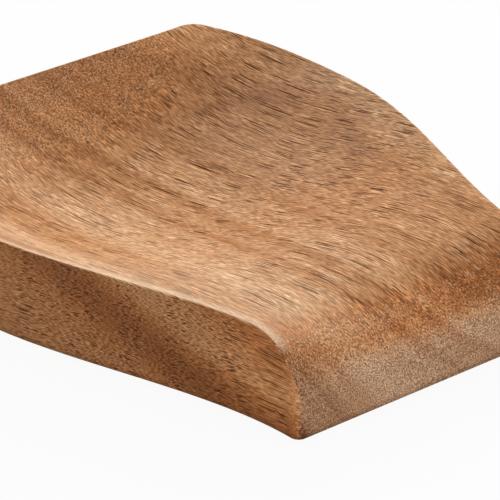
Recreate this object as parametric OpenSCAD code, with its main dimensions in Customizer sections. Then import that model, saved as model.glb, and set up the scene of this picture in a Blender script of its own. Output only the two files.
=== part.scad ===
// Carved wooden utensil rest on four stick-on feet.
// The nose points to -Y, the tail to +Y, and the feet stand on Z = 0.
// Distances called s run from the tail face towards the nose.

/* [Wooden body] */
// Length from the tail face to the nose face
body_l = 127; // [115:1:150]
// Height of the rim above the underside
body_h = 20.2; // [18:0.1:26]
// Width of the straight tail end, measured as if its corners were sharp
tail_w = 87; // [76:0.5:96]
// Sideways flare of the outline where it leaves the tail, in mm per mm
tail_flare = 0.47; // [0.2:0.01:0.6]
// Greatest width, at the bulge
bulge_w = 102.5; // [98:0.5:116]
// Distance from the tail face to the bulge
bulge_at = 44; // [38:1:54]
// Width of the nose end, measured as if its corners were sharp
nose_w = 64; // [54:1:78]
// Plan radius of the two tail corners
tail_corner_r = 3; // [2:0.5:8]
// Plan radius of the two nose corners
nose_corner_r = 2; // [1.5:0.5:6]
// Radius of the eased rim edge
rim_edge_r = 0.5; // [0.3:0.1:1.8]
// Radius of the eased underside edge
under_edge_r = 0.5; // [0.3:0.1:1.4]

/* [Dish] */
// Depth of the dish below the rim
dish_depth = 15; // [9:0.5:15]
// Distance from the tail face to the deepest point
dish_at = 39; // [36:1:54]
// Steepness of the dish floor where it leaves the tail rim, in mm per mm
dish_tail_slope = 1.15; // [0.5:0.05:1.15]

/* [Nose] */
// Distance from the nose face to the crest of the lip, on the centre line
lip_back = 20; // [16:1:28]
// How far the lip's crest lies below the rim, on the centre line
lip_dip = 2.4; // [0:0.1:5]
// Distance from the nose face to the start of the rolled edge, at the sides
side_roll = 13; // [9:0.5:18]
// Height of the upright part of the nose face
nose_face_h = 7; // [4:0.5:9]

/* [Feet] */
// Diameter of a foot pad
pad_d = 10; // [8:0.5:14]
// Thickness of a foot pad
pad_h = 1.75; // [1:0.05:4]
// Radius of a foot pad's lower edge
pad_edge_r = 0.6; // [0.2:0.05:0.8]
// Distance from the adhesive disc's edge in to the foot pad's edge
adhesive_inset = 0.5; // [0.2:0.1:1.5]
// Thickness of the adhesive disc
adhesive_t = 0.25; // [0.1:0.05:0.5]
// Clear distance from a foot pad's edge to the sides and ends of the body
pad_inset = 9; // [5:0.5:14]

/* [Hidden] */
$fn = 64;
FOOT_NAMES = ["tail_left", "tail_right", "nose_left", "nose_right"];

wood_colour = [0.66, 0.47, 0.31];
pad_colour = [0.13, 0.12, 0.12];
adhesive_colour = [0.86, 0.84, 0.78];

under_z = pad_h + adhesive_t;
lip_at = body_l - lip_back;
side_roll_at = body_l - side_roll;

// How finely the carved surface is divided
tail_rows = 4;
floor_rows = 24;
nose_rows = 10;
top_columns = 24;
rim_edge_steps = 3;
under_edge_steps = 2;

// Cubic from a to b over the share t of a stretch d, with slopes slope_a and slope_b
function blend(t, d, a, b, slope_a, slope_b) =
    (2*t^3 - 3*t^2 + 1)*a + (t^3 - 2*t^2 + t)*d*slope_a + (3*t^2 - 2*t^3)*b + (t^3 - t^2)*d*slope_b;

// Drop of a quarter round of radius r at the distance d from its edge
function ease(d, r) = d >= r ? 0 : r - sqrt(r^2 - (r - d)^2);

// Half width of the outline with sharp corners
function sharp_half_w(s) = s < bulge_at
    ? blend(s/bulge_at, bulge_at, tail_w/2, bulge_w/2, tail_flare, 0)
    : blend((s - bulge_at)/(body_l - bulge_at), body_l - bulge_at, bulge_w/2, nose_w/2, 0, 0);

// Half width of the outline with its rounded corners
function half_w(s) = sharp_half_w(s) - ease(s, tail_corner_r) - ease(body_l - s, nose_corner_r);

// Depth of the dish below the rim on the centre line, level past the lip's crest
function centre_depth(s) = s < dish_at
    ? blend(s/dish_at, dish_at, 0, dish_depth, dish_tail_slope, 0)
    : blend(min(1, (s - dish_at)/(lip_at - dish_at)), lip_at - dish_at, dish_depth, lip_dip, 0, 0);

// Depth of the dish at the share t of the half width, a parabola across
function dish_depth_at(s, t) = centre_depth(s)*(1 - t^2);

// Where the nose starts to roll down, at the share t of the half width
function roll_at(t) = lip_at + (side_roll_at - lip_at)*t^2;

// Height of the carved surface above the underside, before its edges are eased
function carved_h(s, t) = s <= roll_at(t)
    ? body_h - dish_depth_at(s, t)
    : let (roll = (s - roll_at(t))/(body_l - roll_at(t)))
      nose_face_h + (body_h - dish_depth_at(s, t) - nose_face_h)*sqrt(max(0, 1 - roll^2));

// Height of the top at the distance x from the centre line
function top_h(s, x) = let (h = half_w(s))
    carved_h(s, min(1, abs(x)/h)) - max(ease(h - abs(x), rim_edge_r), ease(s, rim_edge_r));

// Height of the underside, lifted only at its eased edges
function bottom_h(s, x) =
    max(ease(half_w(s) - abs(x), under_edge_r), ease(s, under_edge_r), ease(body_l - s, under_edge_r));

// Places across a quarter round of radius r, from its outer edge at h inwards
function edge_places(h, r, steps) = [for (i = [0:steps]) h - r*(1 - cos(90*i/steps))];

// Places across the top from left to right, and across the underside from right to left
function top_places(h) = let (edge = edge_places(h, rim_edge_r, rim_edge_steps), flat = edge[rim_edge_steps])
    concat([for (x = edge) -x],
           [for (i = [1:top_columns - 1]) flat*(2*i/top_columns - 1)],
           [for (i = [rim_edge_steps:-1:0]) edge[i]]);
function under_places(h) = let (edge = edge_places(h, under_edge_r, under_edge_steps))
    concat(edge, [for (i = [under_edge_steps:-1:0]) -edge[i]]);

// One closed cross section of the body at the distance s from the tail
function section(s) = let (h = half_w(s), y = body_l/2 - s)
    concat([for (x = top_places(h)) [x, y, under_z + top_h(s, x)]],
           [for (x = under_places(h)) [x, y, under_z + bottom_h(s, x)]]);

// Where the sections lie, close together in the tail corners and down the nose
section_places = concat(
    [for (i = [0:tail_rows]) tail_corner_r*(1 - cos(90*i/tail_rows))],
    [for (i = [1:floor_rows]) tail_corner_r + (lip_at - tail_corner_r)*i/floor_rows],
    [for (i = [1:nose_rows]) lip_at + lip_back*sin(90*i/nose_rows)]);

module rest_body() {
    sections = [for (s = section_places) section(s)];
    n = len(sections[0]);
    last = len(sections) - 1;
    ring_points = [for (ring = sections) for (p = ring) p];
    tail_centre = len(ring_points);
    nose_centre = tail_centre + 1;
    points = concat(ring_points,
        [[0, body_l/2, under_z + body_h/2], [0, -body_l/2, under_z + nose_face_h/2]]);
    sides = [for (k = [0:last - 1]) for (i = [0:n - 1]) let (a = k*n + i, b = k*n + (i + 1) % n)
        each [[a, b, b + n], [a, b + n, a + n]]];
    tail_face = [for (i = [0:n - 1]) [tail_centre, (i + 1) % n, i]];
    nose_face = [for (i = [0:n - 1]) [nose_centre, last*n + i, last*n + (i + 1) % n]];
    color(wood_colour) polyhedron(points, concat(sides, tail_face, nose_face));
}

// Centre of each foot, set in from the outline
tail_foot_s = pad_inset + pad_d/2;
nose_foot_s = body_l - pad_inset - pad_d/2;
function foot_place(i) = let (s = i < 2 ? tail_foot_s : nose_foot_s, side = i % 2 == 0 ? -1 : 1)
    [side*(sharp_half_w(s) - pad_inset - pad_d/2), body_l/2 - s, 0];

module foot_pad(i) {
    pad_r = pad_d/2;
    color(pad_colour) translate(foot_place(i)) rotate_extrude() {
        square([pad_r - pad_edge_r, pad_h]);
        translate([0, pad_edge_r]) square([pad_r, pad_h - pad_edge_r]);
        translate([pad_r - pad_edge_r, pad_edge_r]) circle(pad_edge_r);
    }
}

module adhesive_disc(i) {
    color(adhesive_colour) translate(foot_place(i) + [0, 0, pad_h])
        cylinder(h = adhesive_t, d = pad_d - 2*adhesive_inset);
}

rest_body();
for (i = [0:len(FOOT_NAMES) - 1]) {
    foot_pad(i);
    adhesive_disc(i);
}
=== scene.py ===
import math

import bpy
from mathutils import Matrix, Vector


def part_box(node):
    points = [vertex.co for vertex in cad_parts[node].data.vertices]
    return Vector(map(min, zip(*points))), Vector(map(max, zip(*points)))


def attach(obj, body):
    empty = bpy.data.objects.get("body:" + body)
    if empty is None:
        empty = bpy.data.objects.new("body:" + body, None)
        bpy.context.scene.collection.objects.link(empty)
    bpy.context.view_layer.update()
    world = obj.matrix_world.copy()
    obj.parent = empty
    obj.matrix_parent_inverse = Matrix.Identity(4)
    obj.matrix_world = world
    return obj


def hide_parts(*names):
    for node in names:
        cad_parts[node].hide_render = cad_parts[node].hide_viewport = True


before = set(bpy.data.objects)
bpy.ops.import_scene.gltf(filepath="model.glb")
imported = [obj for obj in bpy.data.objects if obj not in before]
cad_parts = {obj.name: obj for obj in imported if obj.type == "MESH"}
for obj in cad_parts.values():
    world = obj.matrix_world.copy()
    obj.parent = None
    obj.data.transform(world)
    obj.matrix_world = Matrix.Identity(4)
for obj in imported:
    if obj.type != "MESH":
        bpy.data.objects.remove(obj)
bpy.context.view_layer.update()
bpy.ops.object.select_all(action="DESELECT")
print("frame loaded:", len(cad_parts), "CAD nodes")

sameLength = 1e-6       # lengths in metres that differ by less are taken as equal


# Small helpers for edit mode

def openEdit(obj):
    bpy.ops.object.select_all(action="DESELECT")
    bpy.context.view_layer.objects.active = obj
    obj.select_set(True)
    bpy.ops.object.mode_set(mode="EDIT")
    bpy.ops.mesh.select_all(action="DESELECT")


def closeEdit():
    bpy.ops.object.mode_set(mode="OBJECT")


def pickFaces(obj, test):
    # selects faces by a test on centre and normal, from edit mode and back into it
    bpy.ops.mesh.select_mode(type="FACE")
    bpy.ops.mesh.select_all(action="DESELECT")
    closeEdit()
    for face in obj.data.polygons:
        face.select = test(face.center, face.normal)
    bpy.ops.object.mode_set(mode="EDIT")


def pickEdges(obj, test):
    # selects edges by a test on both end points
    bpy.ops.mesh.select_mode(type="EDGE")
    bpy.ops.mesh.select_all(action="DESELECT")
    closeEdit()
    points = obj.data.vertices
    for edge in obj.data.edges:
        edge.select = test(points[edge.vertices[0]].co, points[edge.vertices[1]].co)
    bpy.ops.object.mode_set(mode="EDIT")


# Carved wooden body, with the lengths of the CAD source in metres

restSizes = {
    "length": 0.127,
    "height": 0.0202,
    "tailWidth": 0.087,
    "tailFlare": 0.47,
    "bulgeWidth": 0.1025,
    "bulgeAt": 0.044,
    "noseWidth": 0.064,
    "tailCorner": 0.003,
    "noseCorner": 0.002,
    "rimEase": 0.0005,
    "underEase": 0.0005,
    "dishDepth": 0.015,
    "dishAt": 0.039,
    "dishTailSlope": 1.15,
    "lipBack": 0.020,
    "lipDip": 0.0024,
    "sideRoll": 0.013,
    "noseFace": 0.007,
    "tailRows": 12,
    "floorRows": 150,
    "noseRows": 36,
    "rimColumns": 8,
    "dishColumns": 112,
    "wallCuts": 7,
}


def hermite(t, span, a, b, slopeA, slopeB):
    return ((2 * t**3 - 3 * t**2 + 1) * a + (t**3 - 2 * t**2 + t) * span * slopeA
            + (3 * t**2 - 2 * t**3) * b + (t**3 - t**2) * span * slopeB)


def easeDrop(d, radius):
    # how far a quarter round has dropped at the distance d from its edge
    d = max(0.0, d)
    return 0.0 if d >= radius else radius - math.sqrt(max(0.0, radius**2 - (radius - d) ** 2))


def sharpHalfWidth(s):
    z = restSizes
    if s < z["bulgeAt"]:
        return hermite(s / z["bulgeAt"], z["bulgeAt"], z["tailWidth"] / 2, z["bulgeWidth"] / 2,
                       z["tailFlare"], 0)
    span = z["length"] - z["bulgeAt"]
    return hermite((s - z["bulgeAt"]) / span, span, z["bulgeWidth"] / 2, z["noseWidth"] / 2, 0, 0)


def halfWidth(s):
    z = restSizes
    return sharpHalfWidth(s) - easeDrop(s, z["tailCorner"]) - easeDrop(z["length"] - s, z["noseCorner"])


def carvedHeight(s, t):
    # height of the dish and of the rolled nose above the underside, at the share t of the half width
    z = restSizes
    lipAt = z["length"] - z["lipBack"]
    if s < z["dishAt"]:
        depth = hermite(s / z["dishAt"], z["dishAt"], 0, z["dishDepth"], z["dishTailSlope"], 0)
    else:
        span = lipAt - z["dishAt"]
        depth = hermite(min(1, (s - z["dishAt"]) / span), span, z["dishDepth"], z["lipDip"], 0, 0)
    floor = z["height"] - depth * (1 - t * t)
    rollAt = lipAt + (z["lipBack"] - z["sideRoll"]) * t * t
    if s <= rollAt:
        return floor
    turn = (s - rollAt) / (z["length"] - rollAt)
    return z["noseFace"] + (floor - z["noseFace"]) * math.sqrt(max(0.0, 1 - turn**2))


def cornerDistance(s, x, corner):
    # distance from the outline near an end, measured round its corner
    side = sharpHalfWidth(s) - corner
    if s < corner and x > side:
        return corner - math.hypot(corner - s, x - side)
    return min(s, sharpHalfWidth(s) - x)


def topHeight(s, x):
    z = restSizes
    h = halfWidth(s)
    x = abs(x)
    edge = cornerDistance(s, x, z["tailCorner"]) if s < z["tailCorner"] else h - x
    return carvedHeight(s, min(1, x / h)) - easeDrop(edge, z["rimEase"])


def underHeight(s, x):
    z = restSizes
    x = abs(x)
    back = z["length"] - s
    if s < z["tailCorner"]:
        edge = cornerDistance(s, x, z["tailCorner"])
    elif back < z["noseCorner"]:
        side = sharpHalfWidth(s) - z["noseCorner"]
        edge = min(back, halfWidth(s) - x)
        if x > side:
            edge = z["noseCorner"] - math.hypot(z["noseCorner"] - back, x - side)
    else:
        edge = min(halfWidth(s) - x, s, back)
    return easeDrop(edge, z["underEase"])


def restRows():
    # places along the body, close together in the tail corners and down the nose
    z = restSizes
    lipAt = z["length"] - z["lipBack"]
    quarter = math.pi / 2
    rows = [z["tailCorner"] * (1 - math.cos(quarter * i / z["tailRows"])) for i in range(z["tailRows"])]
    rows += [z["tailCorner"] + (lipAt - z["tailCorner"]) * i / z["floorRows"] for i in range(z["floorRows"])]
    rows += [lipAt + z["lipBack"] * math.sin(quarter * i / z["noseRows"]) for i in range(z["noseRows"] + 1)]
    return rows


def restColumns(h):
    # places across the body, close together over the eased rim
    z = restSizes
    quarter = math.pi / 2
    rim = [h - z["rimEase"] * (1 - math.cos(quarter * i / z["rimColumns"])) for i in range(z["rimColumns"])]
    flat = h - z["rimEase"]
    middle = [flat * (2 * i / z["dishColumns"] - 1) for i in range(z["dishColumns"] + 1)]
    return [-x for x in rim] + middle + rim[::-1]


def carvedSheet(name, heightAt, underZ):
    rows = restRows()
    columnsOf = [restColumns(halfWidth(s)) for s in rows]
    columnCount = len(columnsOf[0])
    bpy.ops.object.select_all(action="DESELECT")
    bpy.ops.mesh.primitive_grid_add(x_subdivisions=columnCount - 1, y_subdivisions=len(rows) - 1, size=2)
    sheet = bpy.context.active_object
    sheet.name = name
    for point in sheet.data.vertices:
        column = round((point.co.x + 1) / 2 * (columnCount - 1))
        row = round((1 - point.co.y) / 2 * (len(rows) - 1))
        s, x = rows[row], columnsOf[row][column]
        point.co = (x, restSizes["length"] / 2 - s, underZ + heightAt(s, x))
    return sheet


def markRim(body, underZ):
    # in mm: how far a point of the carved top is from the outline, or how far below the rim on the walls
    reach = body.data.attributes.new("rimReach", "FLOAT", "POINT")
    for point, mark in zip(body.data.vertices, reach.data):
        s, x = restSizes["length"] / 2 - point.co.y, abs(point.co.x)
        below = underZ + topHeight(s, x) - point.co.z
        edge = min(halfWidth(s) - x, s, restSizes["length"] - s)
        mark.value = 1000 * (edge if below < sameLength else -below)


def buildRestBody():
    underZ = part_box("rest_body")[0].z
    under = carvedSheet("restUnder", underHeight, underZ)
    body = carvedSheet("restBody", topHeight, underZ)
    under.select_set(True)
    body.select_set(True)
    bpy.context.view_layer.objects.active = body
    bpy.ops.object.join()
    openEdit(body)
    bpy.ops.mesh.select_mode(type="EDGE")
    bpy.ops.mesh.select_non_manifold(extend=False, use_wire=False, use_boundary=True,
                                     use_multi_face=False, use_non_contiguous=False, use_verts=False)
    bpy.ops.mesh.bridge_edge_loops(number_cuts=restSizes["wallCuts"], interpolation="LINEAR")
    bpy.ops.mesh.select_all(action="SELECT")
    bpy.ops.mesh.remove_doubles(threshold=sameLength)
    bpy.ops.mesh.normals_make_consistent(inside=False)
    closeEdit()
    bpy.ops.object.shade_smooth()
    markRim(body, underZ)
    return body


restBody = buildRestBody()
print("body carved:", len(restBody.data.polygons), "faces")


# Moulded feet, one shaped and three copied

footSizes = {
    "segments": 72,
    "lowerRound": 0.0006,
    "upperRound": 0.00012,
    "ringIn": 0.0011,
    "ringWide": 0.0005,
    "ringDeep": 0.00022,
    "cupIn": 0.0009,
    "cupSlope": 0.00048,
    "cupDeep": 0.00012,
    "lowerSteps": 6,
    "upperSteps": 2,
    "sharpFrom": math.radians(35),      # edges that turn less are shaded smooth
}


def shapeFoot(name, nodeName):
    low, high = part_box(nodeName)
    middle = (low + high) / 2
    bpy.ops.object.select_all(action="DESELECT")
    bpy.ops.mesh.primitive_cylinder_add(vertices=footSizes["segments"], radius=(high.x - low.x) / 2,
                                        depth=high.z - low.z, location=middle)
    foot = bpy.context.active_object
    foot.name = name
    bpy.ops.object.transform_apply(location=True, rotation=True, scale=True)
    openEdit(foot)
    pickEdges(foot, lambda a, b: max(abs(a.z - low.z), abs(b.z - low.z)) < sameLength)
    bpy.ops.mesh.bevel(offset=footSizes["lowerRound"], segments=footSizes["lowerSteps"], profile=0.5)
    pickEdges(foot, lambda a, b: max(abs(a.z - high.z), abs(b.z - high.z)) < sameLength)
    bpy.ops.mesh.bevel(offset=footSizes["upperRound"], segments=footSizes["upperSteps"], profile=0.5)
    # a grip ring pressed into the tread, and a shallow cup within it
    facesDown = -0.99
    pickFaces(foot, lambda c, n: n.z < facesDown and abs(c.z - low.z) < sameLength)
    bpy.ops.mesh.inset(thickness=footSizes["ringIn"])
    bpy.ops.mesh.inset(thickness=footSizes["ringWide"] / 2)
    bpy.ops.mesh.inset(thickness=footSizes["ringWide"] / 2)
    ringOuter = (high.x - low.x) / 2 - footSizes["lowerRound"] - footSizes["ringIn"]
    ringMiddle = ringOuter - footSizes["ringWide"] / 2
    slack = 20 * sameLength
    closeEdit()
    for point in foot.data.vertices:
        out = math.hypot(point.co.x - middle.x, point.co.y - middle.y)
        point.select = abs(point.co.z - low.z) < sameLength and abs(out - ringMiddle) < slack
    bpy.ops.object.mode_set(mode="EDIT")
    bpy.ops.mesh.select_mode(type="VERT")
    bpy.ops.transform.translate(value=(0, 0, footSizes["ringDeep"]))
    innerEdge = ringOuter - footSizes["ringWide"] - slack / 2
    pickFaces(foot, lambda c, n: n.z < facesDown and math.hypot(c.x - middle.x, c.y - middle.y) < innerEdge)
    bpy.ops.mesh.inset(thickness=footSizes["cupIn"])
    bpy.ops.mesh.inset(thickness=footSizes["cupSlope"])
    bpy.ops.transform.translate(value=(0, 0, footSizes["cupDeep"]))
    bpy.ops.mesh.select_all(action="SELECT")
    bpy.ops.mesh.remove_doubles(threshold=sameLength / 10)
    bpy.ops.mesh.normals_make_consistent(inside=False)
    closeEdit()
    bpy.ops.object.shade_smooth_by_angle(angle=footSizes["sharpFrom"])
    return foot


def copyFoot(foot, name, nodeName, fromNode):
    bpy.ops.object.select_all(action="DESELECT")
    foot.select_set(True)
    bpy.context.view_layer.objects.active = foot
    bpy.ops.object.duplicate(linked=False)
    copy = bpy.context.active_object
    copy.name = name
    bpy.ops.transform.translate(value=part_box(nodeName)[0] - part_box(fromNode)[0])
    bpy.ops.object.transform_apply(location=True, rotation=True, scale=True)
    return copy


footNodes = {"footTailLeft": "tail_left_pad", "footTailRight": "tail_right_pad",
             "footNoseLeft": "nose_left_pad", "footNoseRight": "nose_right_pad"}
feet = {}
for footName, nodeName in footNodes.items():
    if not feet:
        firstNode = nodeName
        feet[footName] = firstFoot = shapeFoot(footName, nodeName)
    else:
        feet[footName] = copyFoot(firstFoot, footName, nodeName, firstNode)
print("feet moulded:", len(feet))


# Node helpers

def newMaterial(name):
    material = bpy.data.materials.new(name)
    material.use_nodes = True
    tree = material.node_tree
    tree.nodes.clear()
    return material, tree


def setSocket(tree, socket, value):
    if isinstance(value, bpy.types.NodeSocket):
        tree.links.new(value, socket)
    elif value is not None:
        socket.default_value = value


def addMath(tree, operation, a, b=None):
    node = tree.nodes.new("ShaderNodeMath")
    node.operation = operation
    for socket, value in zip(node.inputs, (a, b)):
        setSocket(tree, socket, value)
    return node.outputs[0]


def addVector(tree, operation, a, b=None):
    node = tree.nodes.new("ShaderNodeVectorMath")
    node.operation = operation
    setSocket(tree, node.inputs[0], a)
    setSocket(tree, node.inputs[1], b)
    return node.outputs["Value"] if operation in ("DOT_PRODUCT", "LENGTH") else node.outputs["Vector"]


def addMapping(tree, vector, scale=(1, 1, 1), turn=(0, 0, 0), shift=(0, 0, 0)):
    node = tree.nodes.new("ShaderNodeMapping")
    setSocket(tree, node.inputs["Vector"], vector)
    node.inputs["Scale"].default_value = scale
    node.inputs["Rotation"].default_value = turn
    node.inputs["Location"].default_value = shift
    return node.outputs[0]


def addNoise(tree, vector, scale=1.0, detail=2.0, rough=0.5, colour=False):
    node = tree.nodes.new("ShaderNodeTexNoise")
    setSocket(tree, node.inputs["Vector"], vector)
    node.inputs["Scale"].default_value = scale
    node.inputs["Detail"].default_value = detail
    node.inputs["Roughness"].default_value = rough
    return node.outputs["Color" if colour else "Fac"]


def addCells(tree, vector):
    node = tree.nodes.new("ShaderNodeTexVoronoi")
    node.feature = "F1"
    setSocket(tree, node.inputs["Vector"], vector)
    node.inputs["Scale"].default_value = 1.0
    return node.outputs["Distance"], node.outputs["Color"]


def addRange(tree, value, fromLow, fromHigh, toLow=0.0, toHigh=1.0, smooth=True):
    node = tree.nodes.new("ShaderNodeMapRange")
    node.interpolation_type = "SMOOTHSTEP" if smooth else "LINEAR"
    for name, number in (("Value", value), ("From Min", fromLow), ("From Max", fromHigh),
                         ("To Min", toLow), ("To Max", toHigh)):
        setSocket(tree, node.inputs[name], number)
    return node.outputs[0]


def addMix(tree, factor, a, b, blend="MIX"):
    node = tree.nodes.new("ShaderNodeMix")
    node.data_type = "RGBA"
    node.blend_type = blend
    setSocket(tree, node.inputs[0], factor)
    for socket, value in ((node.inputs[6], a), (node.inputs[7], b)):
        setSocket(tree, socket, (*value, 1.0) if isinstance(value, tuple) else value)
    return node.outputs[2]


def addRamp(tree, factor, stops):
    node = tree.nodes.new("ShaderNodeValToRGB")
    setSocket(tree, node.inputs[0], factor)
    ramp = node.color_ramp
    while len(ramp.elements) < len(stops):
        ramp.elements.new(1.0)
    for element, (place, colour) in zip(ramp.elements, stops):
        element.position = place
        element.color = (*colour, 1.0)
    return node.outputs[0]


def addProduct(tree, product, *factors):
    for factor in factors:
        product = addMath(tree, "MULTIPLY", product, factor)
    return product


def addSwing(tree, base, layer, amount):
    # adds a layer's swing about its middle
    swing = addMath(tree, "SUBTRACT", layer, 0.5)
    return addMath(tree, "ADD", base, addMath(tree, "MULTIPLY", swing, amount))


def splitAxes(tree, vector):
    node = tree.nodes.new("ShaderNodeSeparateXYZ")
    tree.links.new(vector, node.inputs[0])
    return node.outputs


def finishShader(tree, colour, rough, height, strength, depth):
    bump = tree.nodes.new("ShaderNodeBump")
    bump.inputs["Strength"].default_value = strength
    bump.inputs["Distance"].default_value = depth
    tree.links.new(height, bump.inputs["Height"])
    shader = tree.nodes.new("ShaderNodeBsdfPrincipled")
    tree.links.new(colour, shader.inputs["Base Color"])
    tree.links.new(rough, shader.inputs["Roughness"])
    tree.links.new(bump.outputs[0], shader.inputs["Normal"])
    out = tree.nodes.new("ShaderNodeOutputMaterial")
    tree.links.new(shader.outputs[0], out.inputs["Surface"])
    return shader


# Oiled open-pored wood

# scales are cells per metre, and a band is where a change starts and ends, with its values there after it
woodLook = {
    "fibreTurn": math.radians(-6),      # brings the fibres onto the Y axis, with their rise to the nose
    "fibreTilt": math.radians(1.4),
    "swayScale": (24, 9, 24),           # slow and quick wander of the fibres, sideways and up only
    "swayReach": (0.008, 0, 0.0025),
    "rippleScale": (150, 40, 150),
    "rippleReach": (0.0010, 0, 0.0004),

    "ringTurn": math.radians(-1.96),    # the same for the axis of the rings, with its tilt
    "ringTilt": math.radians(1.38),
    "pith": (0.05376, 0.06639),         # where the rings are centred, across and up
    "ringSpan": (0.044, 0.124),         # radii that the ring tones cover
    "ringTones": (                      # radius in mm, and how much lighter or darker the wood is there
        (44, 12), (46.8, 14), (49, 6), (51.3, -6), (53.4, -4), (56, 4), (57.8, -3), (60.2, 5), (62.4, -4),
        (63.6, 5), (66, -7), (68.9, 14), (70.2, 5), (73, 18), (74.7, -9), (78.2, 10), (80.2, -9), (82.5, 18),
        (85, 12), (87.5, 20), (90.2, 25), (93, 16), (95.4, 0), (97.5, 4), (100.3, -7), (103, 14), (105.8, 20),
        (107.3, -6), (109.5, -23), (111.3, -18), (113, 2), (116, 10)),
    "ringForce": 1.3,
    "fineRingScale": 620,
    "noseRings": (                      # darker rings at the near corner of the nose, on its end grain
        (97.4, 0), (98.6, 14), (99.4, 7), (100.3, 17), (101.3, 8), (103, 38), (104, 29), (105.5, 40)),
    "noseRingCut": (0.35, 0.80),
    "noseRingEnd": (-0.05, -0.03, 1.0, 0.0),

    "levelBand": (0.2, 0.6),            # from upright to level, by the normal
    "softScale": (420, 12, 420),        # soft streaks, patches and clouds of tone
    "patchScale": (1100, 260, 1100),
    "cloudScale": (60, 40, 60),
    "layerTones": (0.12, 0.06, 0.12),   # strength of the fine rings, the soft streaks and the clouds
    "frayBy": (0.2, 0.4),               # how far streaks and patches fray the change from along to across
    "drawnOutCut": 0.20,                # below this share of end grain the strokes are drawn out
    "drawnOutSqueeze": (0.9, 0.2),

    "arcAt": (0.0447, 0.018),           # crown of the dark arc on the far side, and how it bends away
    "arcBend": 24.0,
    "arcTone": 0.12,
    "arcFray": 0.006,
    "arcWidth": (0.0004, 0.0046),
    "arcFade": (0.016, 0.034, 1.0, 0.0),
    "shoulderShade": 0.26,               # painted shade on the shoulder of the nose, where it shows no sheen, at its far end and at its near end
    "shoulderAcross": (0.001, 0.011),
    "nearShoulderShade": 0.09,
    "nearShoulderAcross": (-0.008, 0.0),
    "shoulderAlong": (-0.058, -0.046, 1.0, 0.0),
    "shoulderUp": (0.0125, 0.0155),
    "tailTone": 0.12,
    "tailAlong": (0.020, 0.044),
    "darkWood": (0.245, 0.087, 0.029),
    "midWood": (0.540, 0.256, 0.108),
    "lightWood": (0.755, 0.465, 0.262),

    "hairScale": (6400, 600, 6400),     # hair lines, lit as if from one side
    "hairAside": (0.8, 0, 0.8),
    "hairSpread": 0.24,
    "hair": (0.40, 1.60),
    "hairPowers": (0.9, 1.15, 1.4),     # for red, green and blue
    "hairCut": (0.04, 0.18, 1.0, 0.45),
    "hairOnWalls": 0.65,
    "hairDrawnOut": 0.6,

    "widePores": {"scale": (3700, 90, 3700), "shift": (3.1, 7.7, 1.3), "fill": 0.24, "radius": (0.34, 0.50)},
    "narrowPores": {"scale": (4900, 120, 4900), "shift": (11.2, 2.4, 5.9), "fill": 0.24,
                    "radius": (0.34, 0.50)},
    "dots": {"scale": (3000, 130, 3000), "shift": (8.7, 4.1, 7.2), "fill": 0.5, "radius": (0.26, 0.46)},
    "flecks": {"scale": (3000, 130, 3000), "shift": (5.3, 9.1, 2.2), "fill": 0.6, "radius": (0.22, 0.44)},
    "crowding": (0.36, 0.62, 0.86, 1.10),       # pores are larger in some streaks
    "poreEdge": 0.85,
    "narrowShare": 0.8,
    "topPores": (0.05, 0.25, 1.0, 0.35),        # strokes fade where the fibres are cut across, and dots come
    "wallPores": (0.1, 0.5, 1.0, 0.5),
    "dotCut": (0.08, 0.30, 0.0, 0.6),
    "poreColour": (0.105, 0.033, 0.010),
    "edgeAside": (0.8, 0, 0.6),                 # lit edges of the pores
    "edgeShare": (0.4, 0.8),
    "edgeTint": (1.58, 1.74, 1.94),

    "slantCut": (0.02, 0.14),           # where the nose turns across the fibres, a redder band of painted shade that shows no sheen, then end grain that is darker and also greyer as painted sheen
    "slantEnd": (0.35, 1.0, 1.0, 0.0),
    "slantAlong": (-0.02, 0.03, 1.0, 0.4),
    "slantShadeTint": (0.93, 0.76, 0.61),
    "sideCut": (0.2, 0.6, 1.0, 0.0),
    "sideTint": (0.84, 0.71, 0.60),     # of the walls, and of the near wall by the nose
    "noseSideTint": (1.14, 0.92, 0.70),
    "noseSideAlong": (-0.058, -0.034),
    "noseSideAcross": (-0.020, 0.020),
    "endCut": (0.25, 1.05),
    "endSaturation": 0.90,
    "endValue": 0.78,

    "speckleTop": (0.04, 0.20),         # where pale flecks show on the carved top, and on all faces
    "speckleEnd": (0.25, 0.50),
    "fleckColour": (0.84, 0.58, 0.34),
    "fleckShare": 0.62,
    "stippleScale": (3000, 260, 3000),
    "stippleCut": (0.10, 0.28),
    "stipple": (0.28, 0.72, 0.55, 1.45),
    "dustScale": (70, 45, 70),
    "dustShift": (4.0, 1.0, 2.0),
    "dust": (0.58, 0.70, 0.0, 0.3),
    "dustColour": (0.66, 0.56, 0.46),
    "farGrey": 0.09,                    # greyed far slope
    "farGreyAcross": (0.010, 0.026),
    "farGreyFade": (0.012, 0.034, 1.0, 0.0),

    "paintedHighlightColour": (0.95, 0.69, 0.48),   # painted highlight on the near rim, and painted sheen over the near side of the dish. Reach is in mm
    "paintedRimHighlight": 0.6,
    "paintedRimHighlightReach": (0.9, 3.6),
    "paintedHighlightStreaks": (0.35, 0.60, 0.45, 1.0),
    "paintedSideSheen": 0.17,
    "paintedSideSheenReach": (4.0, 24.0),
    "paintedHighlightFrom": (0.1, 0.4),
    "paintedHighlightFacing": (0.72, 0.90),
    "paintedHighlightAcross": (-0.030, 0.004, 1.0, 0.0),
    "footTint": (0.66, 0.60, 0.54),     # darker towards the foot of the walls
    "footUp": (0.0022, 0.0038, 1.0, 0.0),

    "bump": 0.3,
    "bumpDepth": 0.00005,
    "bumpOfHair": 0.5,
    "roughness": 0.32,
    "roughHair": 0.16,
    "roughPores": 0.22,
    "ior": 1.5,
    "specular": 0.05,                   # dull oil finish
}


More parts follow.
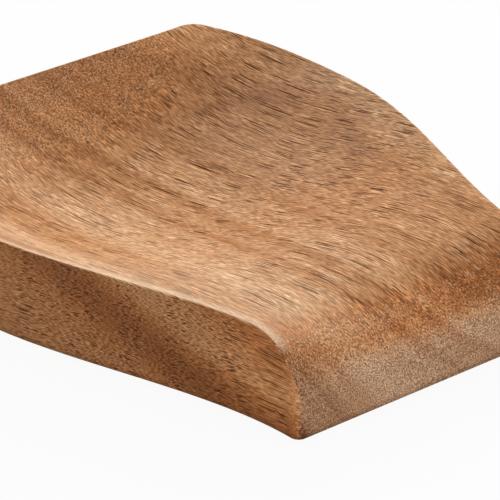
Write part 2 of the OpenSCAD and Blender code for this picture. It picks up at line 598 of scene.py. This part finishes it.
def layFibres(tree, place):
    look = woodLook
    along = addMapping(tree, place, turn=(look["fibreTilt"], 0, look["fibreTurn"]))
    wander = {}
    for name in ("sway", "ripple"):
        noise = addNoise(tree, addMapping(tree, along, scale=look[name + "Scale"]), detail=1.0, colour=True)
        swing = addVector(tree, "SUBTRACT", noise, (0.5, 0.5, 0.5))
        wander[name] = addVector(tree, "MULTIPLY", swing, look[name + "Reach"])
    fibre = addVector(tree, "ADD", addVector(tree, "ADD", along, wander["sway"]), wander["ripple"])
    return along, fibre, wander["ripple"]


def layRings(tree, place, ripple):
    # distance from the pith, as metres and as a share of the ring span
    look = woodLook
    ringFrame = addMapping(tree, place, turn=(look["ringTilt"], 0, look["ringTurn"]),
                           shift=(-look["pith"][0], 0, -look["pith"][1]))
    ringFrame = addVector(tree, "ADD", ringFrame, ripple)
    radius = addVector(tree, "LENGTH", addVector(tree, "MULTIPLY", ringFrame, (1, 0, 1)))
    return radius, addRange(tree, radius, *look["ringSpan"], smooth=False)


def ringRamp(tree, ringAt, tones, middle, force):
    low, high = woodLook["ringSpan"]
    stops = [((mm / 1000 - low) / (high - low), (middle + force * tone / 100,) * 3) for mm, tone in tones]
    return addRamp(tree, ringAt, stops)


def readCut(tree):
    # how far the surface is cut across the fibres, how level it lies, and how far it faces up
    look = woodLook
    facing = tree.nodes.new("ShaderNodeNewGeometry").outputs["Normal"]
    turn, tilt = look["fibreTurn"], look["fibreTilt"]
    fibreWay = (-math.sin(turn), -math.cos(turn) * math.cos(tilt), math.cos(turn) * math.sin(tilt))
    across = addMath(tree, "ABSOLUTE", addVector(tree, "DOT_PRODUCT", facing, fibreWay))
    up = splitAxes(tree, facing)["Z"]
    level = addRange(tree, addMath(tree, "ABSOLUTE", up), *look["levelBand"])
    return addMath(tree, "POWER", across, 2.0), level, up


def layGrain(tree):
    # all that the colour of the wood is made from
    look = woodLook
    place = tree.nodes.new("ShaderNodeTexCoord").outputs["Object"]
    along, fibre, ripple = layFibres(tree, place)
    radius, ringAt = layRings(tree, place, ripple)
    endShare, level, up = readCut(tree)
    softStreaks = addNoise(tree, addMapping(tree, fibre, scale=look["softScale"]), detail=2.0, rough=0.55)
    patches = addNoise(tree, addMapping(tree, along, scale=look["patchScale"]), detail=1.0)
    frayed = endShare
    for layer, amount in zip((softStreaks, patches), look["frayBy"]):
        frayed = addSwing(tree, frayed, layer, amount)
    drawnOut = addMath(tree, "MULTIPLY", addMath(tree, "LESS_THAN", frayed, look["drawnOutCut"]),
                       addMath(tree, "GREATER_THAN", level, 0.5))
    # strokes are drawn out on level faces that run along the fibres
    squeeze = tree.nodes.new("ShaderNodeCombineXYZ")
    squeeze.inputs["Y"].default_value = 1.0
    for axis, share in zip("XZ", look["drawnOutSqueeze"]):
        tree.links.new(addRange(tree, drawnOut, 0.0, 1.0, 1.0, share, smooth=False), squeeze.inputs[axis])
    fibre = addVector(tree, "MULTIPLY", fibre, squeeze.outputs[0])
    spot = splitAxes(tree, place)
    return {"spot": spot, "along": along, "fibre": fibre, "radius": radius, "ringAt": ringAt,
            "endShare": endShare, "frayed": frayed, "level": level, "up": up, "drawnOut": drawnOut,
            "softStreaks": softStreaks,
            "crowd": addRange(tree, softStreaks, *look["crowding"]),
            "wall": addMath(tree, "SUBTRACT", 1.0, level),
            "hairLines": addNoise(tree, addMapping(tree, fibre, scale=look["hairScale"]), detail=0.0),
            "aside": addMath(tree, "SUBTRACT", spot["Y"], look["arcAt"][1])}


def ringColour(tree, grain):
    look, spot = woodLook, grain["spot"]
    tone = ringRamp(tree, grain["ringAt"], look["ringTones"], 0.5, look["ringForce"])
    ringPlace = tree.nodes.new("ShaderNodeCombineXYZ")
    tree.links.new(grain["radius"], ringPlace.inputs["X"])
    fineRings = addNoise(tree, ringPlace.outputs[0], scale=look["fineRingScale"], detail=2.0, rough=0.6)
    clouds = addNoise(tree, addMapping(tree, grain["along"], scale=look["cloudScale"]), detail=3.0)
    for layer, amount in zip((fineRings, grain["softStreaks"], clouds), look["layerTones"]):
        tone = addSwing(tree, tone, layer, amount)

    # one dark layer that the dish cuts in an arc along the far side
    arc = addProduct(tree, grain["aside"], grain["aside"], look["arcBend"])
    arc = addMath(tree, "ADD", arc, addMath(tree, "SUBTRACT", spot["X"], look["arcAt"][0]))
    arc = addMath(tree, "ABSOLUTE", addSwing(tree, arc, grain["softStreaks"], look["arcFray"]))
    arc = addProduct(tree, addRange(tree, arc, *look["arcWidth"], look["arcTone"], 0.0),
                     addRange(tree, addMath(tree, "ABSOLUTE", grain["aside"]), *look["arcFade"]))
    noseRings = addProduct(tree, ringRamp(tree, grain["ringAt"], look["noseRings"], 0.0, 1.0),
                           addRange(tree, grain["endShare"], *look["noseRingCut"]),
                           addRange(tree, spot["Y"], *look["noseRingEnd"]))
    # painted shade on the shoulder of the nose, at its far and near ends
    shoulder = addMath(tree, "ADD",
                       addRange(tree, spot["X"], *look["shoulderAcross"], 0.0, look["shoulderShade"]),
                       addRange(tree, spot["X"], *look["nearShoulderAcross"], look["nearShoulderShade"], 0.0))
    shoulder = addProduct(tree, shoulder, addRange(tree, spot["Y"], *look["shoulderAlong"]),
                          addRange(tree, spot["Z"], *look["shoulderUp"]))
    tail = addRange(tree, spot["Y"], *look["tailAlong"], 0.0, look["tailTone"])
    for darker in (arc, noseRings, shoulder, tail):
        tone = addMath(tree, "SUBTRACT", tone, darker)
    return addRamp(tree, tone, [(0.0, look["darkWood"]), (0.5, look["midWood"]), (1.0, look["lightWood"])])


def drawHair(tree, grain, colour):
    look = woodLook
    shifted = addMapping(tree, grain["fibre"], scale=look["hairScale"], shift=look["hairAside"])
    slope = addMath(tree, "SUBTRACT", grain["hairLines"], addNoise(tree, shifted, detail=0.0))
    hair = addRange(tree, slope, -look["hairSpread"], look["hairSpread"], *look["hair"], smooth=False)
    hairColour = tree.nodes.new("ShaderNodeCombineColor")
    for socket, power in zip(hairColour.inputs, look["hairPowers"]):
        tree.links.new(addMath(tree, "POWER", hair, power), socket)
    share = addProduct(tree, addRange(tree, grain["endShare"], *look["hairCut"]),
                       addRange(tree, grain["level"], 0.0, 1.0, look["hairOnWalls"], 1.0),
                       addRange(tree, grain["drawnOut"], 0.0, 1.0, 1.0, look["hairDrawnOut"]))
    return addMix(tree, share, colour, hairColour.outputs[0], blend="MULTIPLY")


def cutCells(tree, grain, cells, aside=(0, 0, 0)):
    # long thin cells that show as strokes along the fibres and as dots across them
    shift = tuple(a + b for a, b in zip(cells["shift"], aside))
    gap, cellColour = addCells(tree, addMapping(tree, grain["fibre"], scale=cells["scale"], shift=shift))
    dice = tree.nodes.new("ShaderNodeSeparateColor")
    tree.links.new(cellColour, dice.inputs[0])
    size = addProduct(tree, addRange(tree, dice.outputs[0], 0.0, 1.0, *cells["radius"], smooth=False),
                      grain["crowd"])
    hole = addRange(tree, addMath(tree, "DIVIDE", gap, size), woodLook["poreEdge"], 1.0, 1.0, 0.0)
    return addProduct(tree, hole, addMath(tree, "GREATER_THAN", dice.outputs[1], 1 - cells["fill"]))


def openPores(tree, grain):
    look, endShare = woodLook, grain["endShare"]
    pores = addMath(tree, "MAXIMUM", cutCells(tree, grain, look["widePores"]),
                    addProduct(tree, cutCells(tree, grain, look["narrowPores"]), look["narrowShare"]))
    onWalls = addProduct(tree, grain["wall"], addRange(tree, endShare, *look["wallPores"]))
    shown = addMath(tree, "MAXIMUM", addRange(tree, endShare, *look["topPores"]), onWalls)
    pores = addProduct(tree, pores, shown)
    dots = addProduct(tree, cutCells(tree, grain, look["dots"]), addRange(tree, endShare, *look["dotCut"]))
    # the same pores a little aside give each one its lit edge
    edges = addMath(tree, "MAXIMUM", cutCells(tree, grain, look["widePores"], look["edgeAside"]),
                    cutCells(tree, grain, look["narrowPores"], look["edgeAside"]))
    edges = addProduct(tree, edges, addRange(tree, grain["level"], 0.0, 1.0, *look["edgeShare"]))
    return addMath(tree, "MAXIMUM", pores, dots), edges


def tintByCut(tree, grain, colour):
    look, spot, endShare = woodLook, grain["spot"], grain["endShare"]
    uneven = addProduct(tree, addMath(tree, "ADD", endShare, grain["frayed"]), 0.5)
    # painted shade: a redder, darker band where the surface turns across the fibres
    slant = addProduct(tree, addRange(tree, uneven, *look["slantCut"]),
                       addRange(tree, uneven, *look["slantEnd"]),
                       addProduct(tree, grain["level"], addRange(tree, spot["Y"], *look["slantAlong"])))
    colour = addMix(tree, slant, colour, look["slantShadeTint"], blend="MULTIPLY")
    plain = addMath(tree, "MAXIMUM", addRange(tree, spot["Y"], *look["noseSideAlong"]),
                    addRange(tree, spot["X"], *look["noseSideAcross"]))
    side = addProduct(tree, grain["wall"], addRange(tree, endShare, *look["sideCut"]))
    sideTint = addMix(tree, plain, look["noseSideTint"], look["sideTint"])
    colour = addMix(tree, side, colour, sideTint, blend="MULTIPLY")
    # end grain is darker, and greyer as a painted sheen
    endGrain = tree.nodes.new("ShaderNodeHueSaturation")
    endGrain.inputs["Saturation"].default_value = look["endSaturation"]
    endGrain.inputs["Value"].default_value = look["endValue"]
    tree.links.new(addRange(tree, uneven, *look["endCut"]), endGrain.inputs["Fac"])
    tree.links.new(colour, endGrain.inputs["Color"])
    return endGrain.outputs[0]


def speckle(tree, grain, colour, pores, edges):
    look, spot, endShare = woodLook, grain["spot"], grain["endShare"]
    colour = addMix(tree, edges, colour, look["edgeTint"], blend="MULTIPLY")
    speckled = addMath(tree, "MAXIMUM",
                       addProduct(tree, addRange(tree, endShare, *look["speckleTop"]), grain["level"]),
                       addRange(tree, endShare, *look["speckleEnd"]))
    stipple = addNoise(tree, addMapping(tree, grain["along"], scale=look["stippleScale"]), detail=0.0)
    stippled = addMath(tree, "MAXIMUM", speckled, addRange(tree, endShare, *look["stippleCut"]))
    colour = addMix(tree, stippled, colour, addRange(tree, stipple, *look["stipple"], smooth=False),
                    blend="MULTIPLY")
    flecks = addProduct(tree, cutCells(tree, grain, look["flecks"]),
                        addProduct(tree, speckled, look["fleckShare"]))
    colour = addMix(tree, flecks, colour, look["fleckColour"])
    # dust in some of the pale marks, and a greyed far slope
    dust = addNoise(tree, addMapping(tree, grain["along"], scale=look["dustScale"], shift=look["dustShift"]))
    dust = addProduct(tree, addRange(tree, dust, *look["dust"]), addMath(tree, "MAXIMUM", flecks, edges))
    grey = addProduct(tree, addRange(tree, spot["X"], *look["farGreyAcross"], 0.0, look["farGrey"]),
                      addRange(tree, addMath(tree, "ABSOLUTE", grain["aside"]), *look["farGreyFade"]))
    colour = addMix(tree, addMath(tree, "MAXIMUM", dust, grey), colour, look["dustColour"])
    return addMix(tree, pores, colour, look["poreColour"])


def paintHighlightAndDarkFoot(tree, grain, colour):
    look, spot = woodLook, grain["spot"]
    attribute = tree.nodes.new("ShaderNodeAttribute")
    attribute.attribute_name = "rimReach"
    reach = attribute.outputs["Fac"]
    # painted highlight along the near rim and painted sheen over the near side, as paler colour
    paintedSheenShare = addProduct(tree, addRange(tree, reach, *look["paintedRimHighlightReach"], look["paintedRimHighlight"], 0.0),
                        addRange(tree, grain["hairLines"], *look["paintedHighlightStreaks"]))
    paintedSheenShare = addMath(tree, "ADD", paintedSheenShare,
                     addRange(tree, reach, *look["paintedSideSheenReach"], look["paintedSideSheen"], 0.0))
    paintedSheenShare = addProduct(tree, paintedSheenShare, addRange(tree, reach, *look["paintedHighlightFrom"]),
                        addRange(tree, grain["up"], *look["paintedHighlightFacing"]),
                        addRange(tree, spot["X"], *look["paintedHighlightAcross"]))
    colour = addMix(tree, paintedSheenShare, colour, look["paintedHighlightColour"])
    # the walls darker towards their foot
    foot = addRange(tree, spot["Z"], *look["footUp"])
    return addMix(tree, foot, colour, look["footTint"], blend="MULTIPLY")


def makeWood():
    look = woodLook
    material, tree = newMaterial("oiledWood")
    grain = layGrain(tree)
    pores, edges = openPores(tree, grain)
    colour = drawHair(tree, grain, ringColour(tree, grain))
    colour = tintByCut(tree, grain, colour)
    colour = speckle(tree, grain, colour, pores, edges)
    colour = paintHighlightAndDarkFoot(tree, grain, colour)
    height = addMath(tree, "SUBTRACT", addProduct(tree, grain["hairLines"], look["bumpOfHair"]), pores)
    rough = addMath(tree, "ADD", look["roughness"], addProduct(tree, grain["hairLines"], look["roughHair"]))
    rough = addMath(tree, "ADD", rough, addProduct(tree, pores, look["roughPores"]))
    shader = finishShader(tree, colour, rough, height, look["bump"], look["bumpDepth"])
    shader.inputs["IOR"].default_value = look["ior"]
    shader.inputs["Specular IOR Level"].default_value = look["specular"]
    return material


# Foot rubber and adhesive film

rubberLook = {"dark": (0.018, 0.017, 0.016), "pale": (0.034, 0.032, 0.030), "roughness": 0.62,
              "grain": 2600, "bumpDepth": 0.00003}
filmLook = {"dark": (0.60, 0.56, 0.47), "pale": (0.72, 0.69, 0.61), "roughness": 0.5,
            "grain": 1500, "bumpDepth": 0.00002}
mottle = {"slower": 9, "blend": (0.35, 0.65), "roughBand": (0.3, 0.7), "roughSwing": 0.08, "bump": 0.5}


def makeMottled(name, look):
    material, tree = newMaterial(name)
    place = tree.nodes.new("ShaderNodeTexCoord").outputs["Object"]
    fine = addNoise(tree, addMapping(tree, place, scale=(look["grain"],) * 3), detail=4.0, rough=0.6)
    slow = addNoise(tree, addMapping(tree, place, scale=(look["grain"] / mottle["slower"],) * 3))
    mixed = addMath(tree, "ADD", addProduct(tree, fine, 0.5), addProduct(tree, slow, 0.5))
    colour = addMix(tree, addRange(tree, mixed, *mottle["blend"]), look["dark"], look["pale"])
    swing = mottle["roughSwing"]
    rough = addRange(tree, slow, *mottle["roughBand"], look["roughness"] - swing, look["roughness"] + swing)
    finishShader(tree, colour, rough, fine, mottle["bump"], look["bumpDepth"])
    return material


def wear(obj, material):
    obj.data.materials.clear()
    obj.data.materials.append(material)


wear(restBody, makeWood())
footRubber = makeMottled("footRubber", rubberLook)
for foot in feet.values():
    wear(foot, footRubber)
adhesiveFilm = makeMottled("adhesiveFilm", filmLook)
for nodeName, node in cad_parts.items():
    if nodeName.endswith("_adhesive"):
        wear(node, adhesiveFilm)
print("finishes made")


# Floor, light and camera

stageSizes = {
    "floor": 6.0,
    "floorGrey": 0.80,
    "floorShown": 0.94,       # share of plain white on the floor, the rest is lit and shaded
    "floorClear": 0.006,
    "fill": 0.45,             # world light that falls on the object
    "lampsAimAt": (0, 0, 0.01),
    "keyFrom": (0.72, 0.72, 0.46),
    "keySize": 0.70,
    "keyPower": 13.8,
    "frontFrom": (0.10, -0.95, 0.36),
    "frontSize": 0.80,
    "frontPower": 3.7,
    "cameraTurn": -39.073,
    "cameraRise": 27.529,
    "cameraAway": 0.66636,
    "cameraLooksAt": (-0.002449, -0.013344, 0.011943),
    "sensor": 36,
    "lens": 243.32,
    "clipStart": 0.01,
}


def seenBackground(tree, path):
    # one for the rays that show the background to the camera, in reflections and through glass
    seen = addMath(tree, "MAXIMUM", path.outputs["Is Camera Ray"], path.outputs["Is Transmission Ray"])
    return addMath(tree, "MAXIMUM", seen, path.outputs["Is Glossy Ray"])


def makeFloor():
    z = stageSizes
    bpy.ops.object.select_all(action="DESELECT")
    bpy.ops.mesh.primitive_plane_add(size=z["floor"])
    floor = bpy.context.active_object
    floor.name = "studioFloor"
    material, tree = newMaterial("paleFloor")
    matte = tree.nodes.new("ShaderNodeBsdfDiffuse")
    matte.inputs["Color"].default_value = (z["floorGrey"],) * 3 + (1.0,)
    glow = tree.nodes.new("ShaderNodeEmission")
    shown = tree.nodes.new("ShaderNodeMixShader")
    path = tree.nodes.new("ShaderNodeLightPath")
    tree.links.new(addMath(tree, "MULTIPLY", seenBackground(tree, path), z["floorShown"]), shown.inputs[0])
    tree.links.new(matte.outputs[0], shown.inputs[1])
    tree.links.new(glow.outputs[0], shown.inputs[2])
    # clear from below, and to the underside that rests close above it, so that the feet can be looked at
    close = addMath(tree, "LESS_THAN", path.outputs["Ray Length"], z["floorClear"])
    close = addMath(tree, "MULTIPLY", close, path.outputs["Is Diffuse Ray"])
    backside = tree.nodes.new("ShaderNodeNewGeometry").outputs["Backfacing"]
    clear = tree.nodes.new("ShaderNodeBsdfTransparent")
    sides = tree.nodes.new("ShaderNodeMixShader")
    tree.links.new(addMath(tree, "MAXIMUM", backside, close), sides.inputs[0])
    tree.links.new(shown.outputs[0], sides.inputs[1])
    tree.links.new(clear.outputs[0], sides.inputs[2])
    out = tree.nodes.new("ShaderNodeOutputMaterial")
    tree.links.new(sides.outputs[0], out.inputs["Surface"])
    wear(floor, material)


def makeWorld():
    world = bpy.data.worlds.new("softStudio")
    world.use_nodes = True
    tree = world.node_tree
    tree.nodes.clear()
    back = tree.nodes.new("ShaderNodeBackground")
    back.inputs["Color"].default_value = (1, 1, 1, 1)
    seen = seenBackground(tree, tree.nodes.new("ShaderNodeLightPath"))
    strength = addRange(tree, seen, 0.0, 1.0, stageSizes["fill"], 1.0, smooth=False)
    tree.links.new(strength, back.inputs["Strength"])
    out = tree.nodes.new("ShaderNodeOutputWorld")
    tree.links.new(back.outputs[0], out.inputs["Surface"])
    bpy.context.scene.world = world


def makeLamp(name):
    z = stageSizes
    place = Vector(z[name + "From"])
    bpy.ops.object.select_all(action="DESELECT")
    bpy.ops.object.light_add(type="AREA", location=place)
    lamp = bpy.context.active_object
    lamp.name = name + "Lamp"
    lamp.data.shape = "SQUARE"
    lamp.data.size = z[name + "Size"]
    lamp.data.energy = z[name + "Power"]
    lamp.visible_glossy = False         # reflections show the white background instead
    lamp.rotation_euler = (Vector(z["lampsAimAt"]) - place).to_track_quat("-Z", "Y").to_euler()


def makeCamera():
    z = stageSizes
    turn, rise = math.radians(z["cameraTurn"]), math.radians(z["cameraRise"])
    back = Vector((math.sin(turn) * math.cos(rise), -math.cos(turn) * math.cos(rise), math.sin(rise)))
    bpy.ops.object.select_all(action="DESELECT")
    bpy.ops.object.camera_add(location=Vector(z["cameraLooksAt"]) + back * z["cameraAway"])
    camera = bpy.context.active_object
    camera.rotation_euler = (-back).to_track_quat("-Z", "Y").to_euler()
    camera.data.sensor_width = z["sensor"]
    camera.data.lens = z["lens"]
    camera.data.clip_start = z["clipStart"]
    bpy.context.scene.camera = camera


makeFloor()
makeWorld()
makeLamp("key")
makeLamp("front")
makeCamera()
bpy.context.scene.view_settings.view_transform = "Standard"
print("studio set")


# Place in the frame

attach(restBody, "root")
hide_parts("rest_body")
for footName, foot in feet.items():
    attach(foot, "root")
    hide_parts(footNodes[footName])
